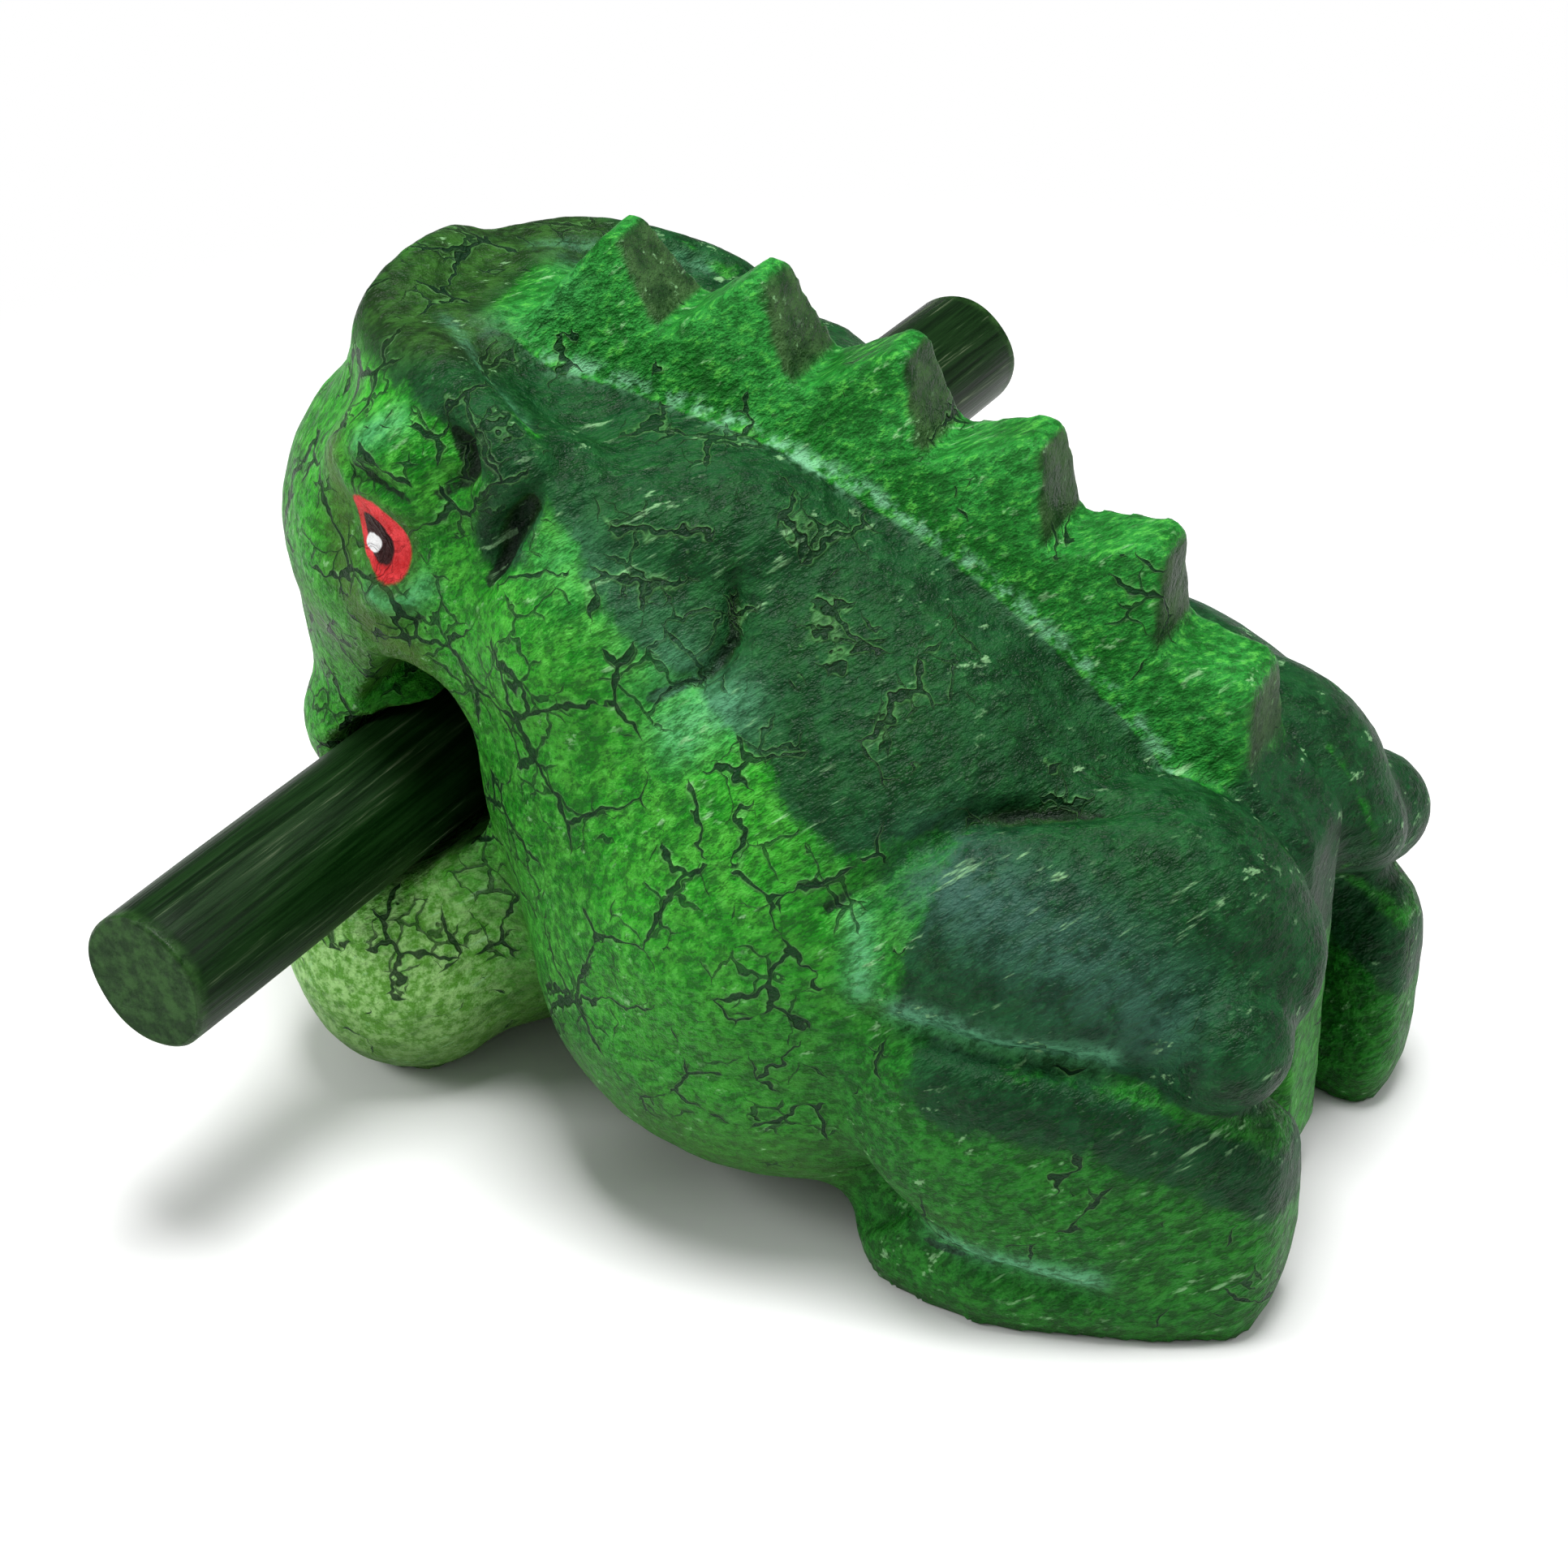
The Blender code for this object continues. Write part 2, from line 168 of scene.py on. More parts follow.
bpy.ops.object.select_all(action='DESELECT')
frog = bpy.data.objects.new("carved_frog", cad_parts["frog_body"].data.copy())
bpy.context.scene.collection.objects.link(frog)
take(frog)
bpy.ops.object.mode_set(mode='EDIT')
bpy.ops.mesh.select_all(action='SELECT')
bpy.ops.mesh.remove_doubles(threshold=0.01 * MM)
bpy.ops.object.mode_set(mode='OBJECT')
bpy.ops.object.select_all(action='DESELECT')
bpy.ops.mesh.primitive_cylinder_add(vertices=48, radius=STICK_RADIUS + CHANNEL_GAP, depth=STICK_LENGTH)
channel = bpy.context.object
channel.data.transform(stick_lay)
fillings = [egg for centre, half in FILLINGS.values() for egg in filling(centre, half)]
bpy.data.objects.remove(channel, do_unlink=True)
print("eggs of filler", len(fillings))

# %% [markdown]
# Solid and filler become one body with an even skin that is fine enough to carve. A subdivision
# would keep the long thin triangles of the solid, so a voxel remesh is used: it wraps everything in
# small squares of one size. A grain of 0.7 mm shows every knife line and stays a light mesh.

# %% A fine skin over the carving
SKIN_GRAIN = 0.7 * MM
bpy.ops.object.select_all(action='DESELECT')
for egg in fillings:
    egg.select_set(True)
frog.select_set(True)
bpy.context.view_layer.objects.active = frog
bpy.ops.object.join()
skin = frog.modifiers.new("skin", 'REMESH')
skin.mode = 'VOXEL'
skin.voxel_size = SKIN_GRAIN
bpy.ops.object.modifier_apply(modifier="skin")
print("skin has", len(frog.data.polygons), "faces")

# %% [markdown]
# Sandpaper comes next. The body of a real one is rubbed round and soft, while the sawn teeth, the
# keel at the rump, the drilled bore and the flat soles keep their edges. So the body gets many
# smoothing passes through a vertex group, and then everything gets a few for worn edges.

# %% Sandpaper
BODY_PASSES, EDGE_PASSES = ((26, 3))
SANDED_LEVELS = 10
P = places(frog.data)
side = np.abs(P[:, 0])
arc_radius, arc_angle = crest_place(P)
from_bore = np.hypot(P[:, 1] - BORE_Y, P[:, 2] - BORE_Z) - BORE_RADIUS
on_crest = ramp(9.5, 7.0, side) * ramp(79.0, 80.5, arc_radius) * ramp(-6, -3, arc_angle)
on_keel = ramp(9.0, 7.5, side) * ramp(48, 52, arc_angle) * ramp(44.5, 46.5, P[:, 1])
in_bore = ramp(21.0, 18.5, side) * ramp(2.0, -1.0, from_bore)
on_sole = ramp(1.6, 0.6, P[:, 2])
kept = np.clip(np.maximum.reduce([on_crest, on_keel, in_bore, on_sole]), 0, 1)
sanded = frog.vertex_groups.new(name="sanded")
for step in range(SANDED_LEVELS + 1):
    level = step / SANDED_LEVELS
    members = np.nonzero(np.abs((1 - kept) - level) <= 0.5 / SANDED_LEVELS)[0]
    if len(members):
        sanded.add(members.tolist(), level, 'REPLACE')
rub = frog.modifiers.new("rub down", 'SMOOTH')
rub.vertex_group = "sanded"
rub.factor = 0.5
rub.iterations = BODY_PASSES
bpy.ops.object.modifier_apply(modifier="rub down")
edge = frog.modifiers.new("worn edges", 'SMOOTH')
edge.factor = 0.5
edge.iterations = EDGE_PASSES
bpy.ops.object.modifier_apply(modifier="worn edges")
print("sanded", int((kept < 0.5).sum()), "points, kept", int((kept >= 0.5).sum()))

# %% [markdown]
# The knife work gives the frog its face and its legs: creases round the lids, a deep V behind the
# eye, hollows under the brow, and the folds of the legs. It could be modelled face by face, but a
# carver draws a line and follows it, so each cut here is a line on the left flank with a width and
# a depth. Every point near the line sinks along its normal. The right flank gets the same cuts,
# because the distance from the middle plane is what is measured.

# %% The knife and the gouge
P = places(frog.data)
N = normals(frog.data)
flank = np.stack([np.abs(P[:, 0]), P[:, 1], P[:, 2]], 1)
sunk = np.zeros(len(flank))
raised = np.zeros(len(flank))


def from_line(points):
    """How far each vertex lies from a bent line, and its share of the way along it."""
    best = np.full(len(flank), np.inf)
    share = np.zeros(len(flank))
    lengths = [math.dist(a, b) for a, b in zip(points, points[1:])]
    done = 0.0
    for a, b, length in zip(points, points[1:], lengths):
        a, b = np.array(a, float), np.array(b, float)
        t = np.clip((flank - a) @ (b - a) / length ** 2, 0, 1)
        off = np.linalg.norm(flank - (a + t[:, None] * (b - a)), axis=1)
        nearer = off < best
        best[nearer] = off[nearer]
        share[nearer] = (done + t[nearer] * length) / sum(lengths)
        done += length
    return best, share


def cut(points, wide, deep):
    """A knife line that runs out at both ends."""
    off, share = from_line(points)
    ends = np.sin(np.pi * np.clip(share, 0.02, 0.98)) ** 0.5
    sunk[:] = np.maximum(sunk, deep * np.exp(-(off / wide) ** 2) * ends)


def swell(centre, radius, height):
    """A soft bulge, or a dish where the height is negative."""
    off = np.linalg.norm((flank - centre) / radius, axis=1)
    raised[:] += height * np.exp(-off ** 2)


print("points to carve", len(flank))

# %% Lines to carve
# A line's points, its width and its depth
KNIFE_LINES = {
    "edge of the brow": ([(9, -24.5, 73), (14, -19, 72), (17.5, -14, 70), (18.5, -11.7, 68)], 1.5, 0.8),
    "V behind the eye": ([(17.5, -11, 69), (21.8, -12.7, 65.8), (22.4, -15.1, 62.3), (23.4, -16.5, 58.5)],
                         1.0, 2.6),
    "back of the lid": ([(20.8, -22, 70.4), (21, -19.6, 69.5), (22, -18.8, 67.8), (22.6, -20.4, 64.8)],
                        1.2, 2.2),
    "under the lid": ([(20.5, -31, 66.5), (22.6, -30, 65), (22.9, -27.9, 65.6), (23.3, -24, 64.2)], 0.9, 1.1),
    "under the eye": ([(23.2, -26.5, 51.6), (23.2, -24.5, 52), (22.6, -22.4, 54)], 0.8, 0.8),
    "behind the shoulder": ([(17.8, 4.0, 61), (20.6, 5.1, 57), (23, 4.3, 54.7), (26.5, 0.4, 53)], 0.9, 1.9),
    "fold of the thigh": ([(31, 18, 39.5), (24.4, 23.4, 43.2), (20.4, 26.6, 44.8), (16.4, 32.2, 45),
                           (12, 41.5, 44)], 1.1, 1.8),
    "groove over the shin": ([(31.2, 22.8, 30.2), (29.6, 31, 28.9), (26.1, 40.3, 27.4), (20.5, 50.5, 23)],
                             1.2, 1.5),
    "top of the foot": ([(30, 26.5, 7.6), (31, 32, 7.4), (30.5, 37, 6.4), (28.5, 45, 5.2)], 1.1, 1.1),
    "front of the foot": ([(27, 17.5, 3), (28, 21, 6.5), (28.5, 25, 9.5)], 1.1, 1.2),
    "corner of the mouth": ([(22.3, -28.9, 49.5), (22, -28.5, 47), (19, -32, 41)], 0.6, 0.5)}
# The middle of a swell, its half lengths and its height
SWELLS = {
    "beside the snout": ((20.7, -32.3, 58.5), (3.5, 3.0, 5.5), -1.2),
    "under the brow": ((21.8, -21.5, 66), (2.2, 2.2, 3), -1.0),
    "bowl of the forehead": ((8, -32, 74), (4, 4, 4), -1.2),
    "between the brows": ((0, -28, 71.5), (5, 5, 4), 1.6),
    "bag under the eye": ((22.6, -27.3, 53.6), (3.5, 3.2, 2.4), 0.8),
    "eyelid": ((21, -26, 68.2), (4, 4.2, 2.6), 0.9),
    "cheek": ((24, -21.5, 60), (4, 2.5, 5), 0.5),
    "knee": ((30.5, 24, 33.5), (3, 3.5, 2.2), 0.7),
    "thigh over the groove": ((28.5, 33, 31.5), (3, 9, 1.6), 0.5)}
CHISEL_MARKS = 5
for name, (points, wide, deep) in KNIFE_LINES.items():
    cut(points, wide, deep)
for mark in range(CHISEL_MARKS):
    cut([(6.3, -24 + 2.6 * mark, 74.6 + 0.2 * mark), (4.6, -19.5 + 1.9 * mark, 77.2)], 0.5, 0.6)
for name, (centre, radius, height) in SWELLS.items():
    swell(centre, radius, height)
print(len(KNIFE_LINES) + CHISEL_MARKS, "cuts, the deepest", round(float(sunk.max()), 2), "mm")

# %% [markdown]
# The cuts are now made. After them two cloud textures move the skin in and out: a slow one for a
# surface that was cut by hand, and a fine one for lumps of thick paint. The soles were sawn flat, so
# they are pressed flat again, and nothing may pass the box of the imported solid.

# %% The cuts are made
SOLE_HEIGHT, SOLE_SHARE = 0.7, 0.4
P += N * (raised - sunk)[:, None]
put_places(frog.data, P)
take(frog)
for name, grain, strength in (("hand_waves", 11 * MM, 0.7 * MM), ("paint_lumps", 2.2 * MM, 0.22 * MM)):
    cloud = bpy.data.textures.new(name, 'CLOUDS')
    cloud.noise_scale = grain
    cloud.noise_depth = 2
    roll = frog.modifiers.new(name, 'DISPLACE')
    roll.texture = cloud
    roll.texture_coords = 'LOCAL'
    roll.strength = strength
    roll.mid_level = 0.5
    bpy.ops.object.modifier_apply(modifier=name)
P = places(frog.data)
P[:, 2] = np.where(P[:, 2] < SOLE_HEIGHT, np.clip(P[:, 2], 0, None) * SOLE_SHARE, P[:, 2])
low, high = ((np.array(corner) - (FROG_X, FROG_Y, 0)) / MM for corner in (frog_low, frog_high))
P = np.clip(P, low, high)
put_places(frog.data, P)
for face in frog.data.polygons:
    face.use_smooth = True
print("carved frog", len(frog.data.polygons), "faces")

# %% [markdown]
# The frog is painted bright green all over, then dusted from above with a dark green spray, and the
# rear faces of the teeth are brushed dull. Where a coat lands depends on the place and on the way
# that the wood faces, so each coat is a mask between 0 and 1. The first masks are the crest, the
# dull faces of its teeth and a painted highlight in mint dashes along its foot.

# %% Masks of the crest
N = normals(frog.data)
side = np.abs(P[:, 0])
arc_radius, arc_angle = crest_place(P)
comb = ramp(7.8, 6.4, side) * ramp(79.6, 80.8, arc_radius) * ramp(-5, -3, arc_angle)
facing_back = N[:, 1] * np.cos(np.radians(arc_angle)) - N[:, 2] * np.sin(np.radians(arc_angle))
rear_face = comb * ramp(0.30, 0.60, facing_back) * ramp(82.0, 84.0, arc_radius)
# A painted highlight: broken mint dashes along the foot of the crest
step_highlight = ramp(8.2, 7.2, side) * ramp(4.6, 5.4, side) * np.exp(-((arc_radius - 80.9) / 0.6) ** 2)
step_highlight *= ramp(-4, -2, arc_angle) * ramp(52, 46, arc_angle)
print("share of the crest", round(float(comb.mean()), 2))

# %% [markdown]
# The dark spray covers the back down to a curved line, the thighs down to the groove over the shin,
# a band on the shin, the brows and the crown of the head. Over the knees the spray is taken off as a
# painted highlight.

# %% Masks of the dark spray
# Lines on the flank as Y and Z
BACK_EDGE = ((-60, 84), (-16, 72), (-13, 68), (-10, 64.5), (-4, 59), (2, 54.5), (10, 49.5), (16, 45),
             (19, 43), (22, 44), (60, 40))
GROOVE = ((18, 34), (24, 30.6), (31, 29.4), (40, 27.8), (49, 24), (56, 19))
# A line in all three directions
BROW = ((4, -38, 73.5), (10, -33.5, 74.5), (16, -26, 73.8), (19.3, -19.5, 72.2), (21.5, -13.9, 68.5),
        (22.5, -15.5, 62))
# Middle and half sizes of the painted highlight on the knee
KNEE_HIGHLIGHT_MIDDLE, KNEE_HIGHLIGHT_HALF = (31, 20.5, 36), (4.5, 3.8, 7)


def above(line):
    """How far each vertex is above a line drawn on the flank."""
    return P[:, 2] - np.interp(P[:, 1], [point[0] for point in line], [point[1] for point in line])


def beside(line, wide):
    """1 on a line over the flank, and next to nothing at twice the width from it."""
    return np.exp(-(from_line(line)[0] / wide) ** 2)


back = ramp(-2.0, 2.5, above(BACK_EDGE))
thigh = ramp(22.5, 26.5, P[:, 1] + 0.25 * (36 - P[:, 2])) * ramp(-0.6, 1.2, above(GROOVE)) * ramp(6, 9, side)
shin_band = ramp(-9.5, -4.5, above(GROOVE)) * ramp(0.6, -1.6, above(GROOVE))
shin_band *= ramp(23, 29, P[:, 1]) * ramp(8, 12, side)
crown = ramp(-31, -25, P[:, 1]) * ramp(0.3, 0.5, N[:, 2]) * ramp(63, 66, P[:, 2]) * ramp(19, 16, side)
keel = 1.2 * comb * ramp(47, 53, arc_angle)
spray = np.max([back, thigh, 0.8 * shin_band, 1.2 * beside(BROW, 3.3), crown], axis=0) * (1 - comb) + keel
# The knee mask is a painted highlight: it takes the spray off the knee's front, and the leg shade spares it
to_knee_highlight = (np.stack([side, P[:, 1], P[:, 2]], 1) - KNEE_HIGHLIGHT_MIDDLE) / KNEE_HIGHLIGHT_HALF
knee = np.exp(-np.linalg.norm(to_knee_highlight, axis=1) ** 2)
spray = np.clip(spray, 0, 1) * (1 - 0.9 * knee)
print("share under the dark spray", round(float(spray.mean()), 2))

# %% [markdown]
# Softer masks follow: the pale chest, painted shade in olive on faces turned down, painted shade on
# legs and low belly and in the cuts, deeper cuts darker, and over the bowl of the forehead, the olive
# valley beside the snout, and where the paint has crackled most.

# %% Masks of chest, belly, bowl and crackle
BOWL = [(1, -32, 72.5), (7.5, -32, 74), (10.5, -27, 73.5)]
VALLEY = [(20.2, -33.6, 65.5), (20.2, -33, 58.5), (21.2, -31.4, 54), (22.2, -28.5, 50.5), (22.9, -24.5, 49.5)]
pale = ramp(-14, -24, P[:, 1]) * ramp(34, 16, P[:, 2])
# Painted shade, olive, on faces that turn downwards
under = ramp(0.05, -0.6, N[:, 2])
# Painted shade on the legs, sparing the knee, and on the low belly
leg_shade = ramp(8, 22, P[:, 1]) * ramp(3, 8, side) * (1 - knee) * ramp(57, 50, P[:, 2] + 0.3 * P[:, 1])
low_belly_shade = ramp(-16, -6, P[:, 1]) * ramp(30, 21, P[:, 2] - 0.5 * P[:, 1])
shaded = np.maximum(leg_shade, 0.5 * low_belly_shade)
# Painted shade: darker with the depth of each cut, and over the bowl of the forehead
recess_shade = np.maximum(np.clip((sunk - 0.5) / 1.3, 0, 1), beside(BOWL, 6.5))
olive = beside(VALLEY, 2.3)
crackled = 0.25 + ramp(30, 10, P[:, 1]) * ramp(12, 22, P[:, 2]) * (1 - comb)
print("share of the pale chest", round(float(pale.mean()), 2))

# %% [markdown]
# High edges get painted highlights in mint, the thigh a painted grey reflection and the deepest
# creases painted shade. These are lines again, each with a width and a strength.

# %% Masks of edges and creases
# A painted grey reflection on top of the thigh, along this line
THIGH_REFLECTION_LINE = [(26, 27, 42), (24.5, 35, 38), (22, 43, 32)]
# Painted highlights in mint on high edges: a line's points, its width and its strength
PAINTED_HIGHLIGHTS = {
    "front of the shoulder": ([(20.8, -9.5, 60.5), (22, -4, 56.5), (23.5, 1, 53.5)], 3.2, 0.8),
    "behind the shoulder": ([(24, 6.5, 52.5), (26.5, 3, 50.5)], 2.6, 0.7),
    "knee": ([(30.8, 21.0, 39.5), (31.6, 21.6, 33.5)], 1.3, 1.0),
    "lip of the thigh": ([(31.2, 24.5, 31.8), (29.5, 31, 30.6), (26, 41, 29.0)], 1.3, 1.0),
    "foot": ([(31.5, 25, 9), (31.5, 30, 8.9), (31, 34, 8.4), (29.5, 42, 7.6)], 1.3, 1.2),
    "eyelid": ([(21.5, -29, 68.5), (20.5, -26.5, 69.8)], 1.5, 0.8),
    "bag under the eye": ([(23.2, -27.5, 54.6), (23.6, -24.8, 54.2), (23.6, -22.6, 56.5)], 1.2, 0.9),
    "front of the crest": ([(7, -24, 74), (5.4, -19, 77)], 2.2, 0.25),
    "ridge of the brow": ([(8, -28, 74.5), (13, -21.5, 72.8), (17, -15.5, 70.6)], 0.8, 0.5)}
# Painted shade in the deepest creases: a line's points and its width
SHADED_CREASES = {
    "behind the shoulder": ([(17.5, 3.2, 61), (20.6, 5.1, 57), (23, 4.3, 54.7), (26.5, 0.4, 53)], 0.75),
    "fold of the thigh": ([(31, 18, 39.8), (24.4, 23.4, 43.4), (20.4, 26.6, 45), (16.4, 32.2, 45.2),
                           (12, 41.5, 44)], 0.7),
    "V behind the eye": ([(18.5, -11.4, 68.2), (21.8, -12.7, 65.8), (22.4, -15.1, 62.3),
                          (23.4, -16.5, 58.5)], 0.9),
    "back of the lid": ([(20.8, -21, 70), (21.4, -19.2, 68), (22.4, -19.6, 66), (22.6, -21, 64.6)], 0.9),
    "under the lid": ([(20.8, -30.6, 66), (22.9, -28.4, 65.7), (23.3, -24, 64.2)], 0.5),
    "under the eye": ([(23.2, -26.5, 51.4), (23.2, -24.5, 51.8), (22.8, -22.4, 53.8)], 0.4),
    "groove over the shin": ([(30.4, 27, 29.7), (29.6, 31, 28.7), (26.1, 40.3, 27.2),
                              (20.5, 50.5, 22.8)], 0.55),
    "top of the foot": ([(30, 26.5, 7.6), (31, 32, 7.3), (30.5, 37, 6.3)], 0.5)}
painted_reflection = beside(THIGH_REFLECTION_LINE, 4.5)
painted_highlight = np.max([strength * beside(line, wide) for line, wide, strength in PAINTED_HIGHLIGHTS.values()], axis=0)
crease_shade = np.max([beside(line, wide) for line, wide in SHADED_CREASES.values()], axis=0)
print(len(PAINTED_HIGHLIGHTS), "brushed edges and", len(SHADED_CREASES), "dark creases")

# %% The masks are kept on the skin
MASKS = {"spray": spray, "comb": comb, "rear_face": rear_face, "pale": pale, "under": under,
         "recess_shade": recess_shade, "crackled": crackled, "painted_highlight": painted_highlight, "step_highlight": step_highlight, "olive": olive,
         "crease_shade": crease_shade, "shaded": shaded, "painted_reflection": painted_reflection}
for name, values in MASKS.items():
    stored = frog.data.attributes.new(name, 'FLOAT', 'POINT')
    stored.data.foreach_set("value", np.clip(values, 0, 1).astype(np.float32))
print("masks kept:", ", ".join(MASKS))


# %% [markdown]
# Finishes are built from nodes, so a few helpers come first. Each adds one node to a tree, sets its
# inputs or links them to other nodes, and gives back the output, so that a finish reads as a list of
# coats. Colours are written as they are seen, from 0 to 255.

# %% Helpers for node trees
FIRST_TWO = {"first": 0, "second": 1}
MIX_SHARE, MIX_UNDER, MIX_OVER, MIX_RESULT = 0, 6, 7, 2


def linear(red, green, blue):
    """A colour as it is seen, made ready for a shader."""
    parts = (c / 255 for c in (red, green, blue))
    return (*(c / 12.92 if c <= 0.04045 else ((c + 0.055) / 1.055) ** 2.4 for c in parts), 1.0)


def plug(tree, socket, value):
    """Links a node's output to a socket, or sets the socket to a plain value."""
    if isinstance(value, bpy.types.NodeSocket):
        tree.links.new(value, socket)
    else:
        socket.default_value = value


def add(tree, kind, settings=None, **inputs):
    """A node with its settings and inputs. Where two sockets share a name, they are first and second."""
    item = tree.nodes.new(kind)
    for key, value in (settings or {}).items():
        setattr(item, key, value)
    for key, value in inputs.items():
        plug(tree, item.inputs[FIRST_TWO.get(key, key.replace("_", " "))], value)
    return item


def maths(tree, operation, a, b=0.0, clamp=False):
    """Two numbers added, taken apart, multiplied and so on. Clamped, the result stays between 0 and 1."""
    settings = {"operation": operation, "use_clamp": clamp}
    return add(tree, "ShaderNodeMath", settings, first=a, second=b).outputs[0]


def times(tree, a, b):
    return maths(tree, 'MULTIPLY', a, b)


def vector_maths(tree, operation, a, b=(0.0, 0.0, 0.0)):
    """Two places added, taken apart or multiplied. A dot product or a length is a number."""
    item = add(tree, "ShaderNodeVectorMath", {"operation": operation}, first=a, second=b)
    return item.outputs["Value" if operation in ('DOT_PRODUCT', 'LENGTH') else "Vector"]


def scaled(tree, vector, share):
    item = add(tree, "ShaderNodeVectorMath", {"operation": 'SCALE'}, first=vector, Scale=share)
    return item.outputs["Vector"]


def between(tree, value, low, high, to_low=0.0, to_high=1.0):
    """A smooth step from one value to another while the input goes from low to high."""
    return add(tree, "ShaderNodeMapRange", {"interpolation_type": 'SMOOTHSTEP'}, Value=value,
               From_Min=low, From_Max=high, To_Min=to_low, To_Max=to_high).outputs["Result"]


def mixed(tree, share, under_coat, over_coat):
    """One colour laid over another: all under at 0, all over at 1."""
    item = add(tree, "ShaderNodeMix", {"data_type": 'RGBA'})
    for number, value in ((MIX_SHARE, share), (MIX_UNDER, under_coat), (MIX_OVER, over_coat)):
        plug(tree, item.inputs[number], value)
    return item.outputs[MIX_RESULT]


def noise(tree, vector, scale, detail, roughness):
    return add(tree, "ShaderNodeTexNoise", None, Vector=vector, Scale=scale, Detail=detail,
               Roughness=roughness).outputs


print("node helpers ready")


# %% Helpers for groups and finishes
def new_group(name, inputs, outputs):
    """An empty node group with named inputs, a vector or a number each, and number outputs."""
    tree = bpy.data.node_groups.new(name, 'ShaderNodeTree')
    for label, value in inputs.items():
        kind = 'NodeSocketVector' if value is None else 'NodeSocketFloat'
        socket = tree.interface.new_socket(label, in_out='INPUT', socket_type=kind)
        if value is not None:
            socket.default_value = value
    for label in outputs:
        tree.interface.new_socket(label, in_out='OUTPUT', socket_type='NodeSocketFloat')
    return tree, tree.nodes.new("NodeGroupInput").outputs, tree.nodes.new("NodeGroupOutput").inputs


def grouped(tree, group, **inputs):
    """A node group placed in a finish with values of its own."""
    return add(tree, "ShaderNodeGroup", {"node_tree": group}, **inputs).outputs


def new_finish(name):
    finish = bpy.data.materials.new(name)
    finish.use_nodes = True
    tree = finish.node_tree
    return finish, tree, tree.nodes["Principled BSDF"]


print("group helpers ready")

# %% [markdown]
# Each paint effect is a node group with named inputs. The crackle is thick paint that shrank over a
# slick coat: cells with a jagged border, whose cracks come and go. A Voronoi texture gives the
# distance to the nearest border, noise bends it, and a second noise breaks it up. Beside each crack
# the paint stands up in a thin lip that catches the light.

# %% Crackle
BEND_REACH = 2.6 * MM
THINNEST, LIP_WIDTH = 0.0005, 1.9
crackle, inside, outside = new_group(
    "crackle", {"Vector": None, "Cells per metre": 100.0, "Width": 0.05, "Kept": 0.5}, ["Crack", "Lip"])


def near_border(width):
    """1 on a cell's border, falling to 0 at the given width from it."""
    share = maths(crackle, 'DIVIDE', cells, maths(crackle, 'MAXIMUM', width, THINNEST))
    return maths(crackle, 'SUBTRACT', 1.0, share, clamp=True)


bend = noise(crackle, inside["Vector"], 330.0, 2.0, 0.7)["Color"]
bend = scaled(crackle, vector_maths(crackle, 'SUBTRACT', bend, (0.5, 0.5, 0.5)), BEND_REACH)
bent = vector_maths(crackle, 'ADD', inside["Vector"], bend)
cells = add(crackle, "ShaderNodeTexVoronoi", {"feature": 'DISTANCE_TO_EDGE'}, Vector=bent,
            Scale=inside["Cells per metre"]).outputs["Distance"]
come_and_go = noise(crackle, inside["Vector"], 150.0, 2.0, 0.6)["Fac"]
alive = between(crackle, maths(crackle, 'ADD', come_and_go, inside["Kept"]), 0.97, 1.09)
width = times(crackle, inside["Width"], alive)
crack = between(crackle, near_border(width), 0.05, 0.45)
lip = between(crackle, near_border(times(crackle, width, LIP_WIDTH)), 0.0, 0.7)
lip = times(crackle, lip, maths(crackle, 'SUBTRACT', 1.0, crack, clamp=True))
crackle.links.new(crack, outside["Crack"])
crackle.links.new(lip, outside["Lip"])
print("crackle group has", len(crackle.nodes), "nodes")

# %% [markdown]
# The paint is full of fibres and brush hairs that all run one way, because the brush was drawn along
# the frog. Noise that is drawn out gives them: most of the distance along the brush's way is taken
# out of each place, so the pattern changes slowly that way and fast across it.

# %% Fibres
BRUSH_WAY = Vector((-0.615, 0.673, 0.42)).normalized()
fibres, inside, outside = new_group(
    "fibres", {"Vector": None, "Fineness": 900.0}, ["Light hairs", "Grain", "Mottle"])


def drawn_out(tree, vector, way, share):
    """The same place with a share of its distance along one way taken out."""
    length = vector_maths(tree, 'DOT_PRODUCT', vector, tuple(way))
    return vector_maths(tree, 'SUBTRACT', vector, scaled(tree, tuple(way), times(tree, length, share)))


long_hairs = drawn_out(fibres, inside["Vector"], BRUSH_WAY, 0.86)
short_hairs = drawn_out(fibres, inside["Vector"], BRUSH_WAY, 0.5)
grain = noise(fibres, long_hairs, inside["Fineness"], 3.0, 0.65)["Fac"]
rare = noise(fibres, inside["Vector"], 210.0, 1.0, 0.5)["Fac"]
hairs = times(fibres, between(fibres, grain, 0.60, 0.70), between(fibres, rare, 0.45, 0.60))
fibres.links.new(hairs, outside["Light hairs"])
fibres.links.new(grain, outside["Grain"])
fibres.links.new(noise(fibres, short_hairs, 1150.0, 3.0, 0.75)["Fac"], outside["Mottle"])
print("fibres group has", len(fibres.nodes), "nodes")

# %% [markdown]
# Each eye is painted, not carved: a red almond, a dark pupil and one white dot. Its place is a flat
# oval laid on the cheek, so the group measures how far a point lies along and across that oval. The
# sides are mirrored first, and a little noise makes the brush's edge unsteady.

# %% The painted eye
EYE_MIDDLE = Vector((22.2, -27.3, 59.6))
EYE_LONG = Vector((-0.4, 3.8, -7.4)).normalized()
EYE_OUT = Vector((0.93, -0.32, 0.18)).normalized()
EYE_ACROSS = EYE_LONG.cross(EYE_OUT).normalized()
BRUSH_SLIP = 0.7 * MM
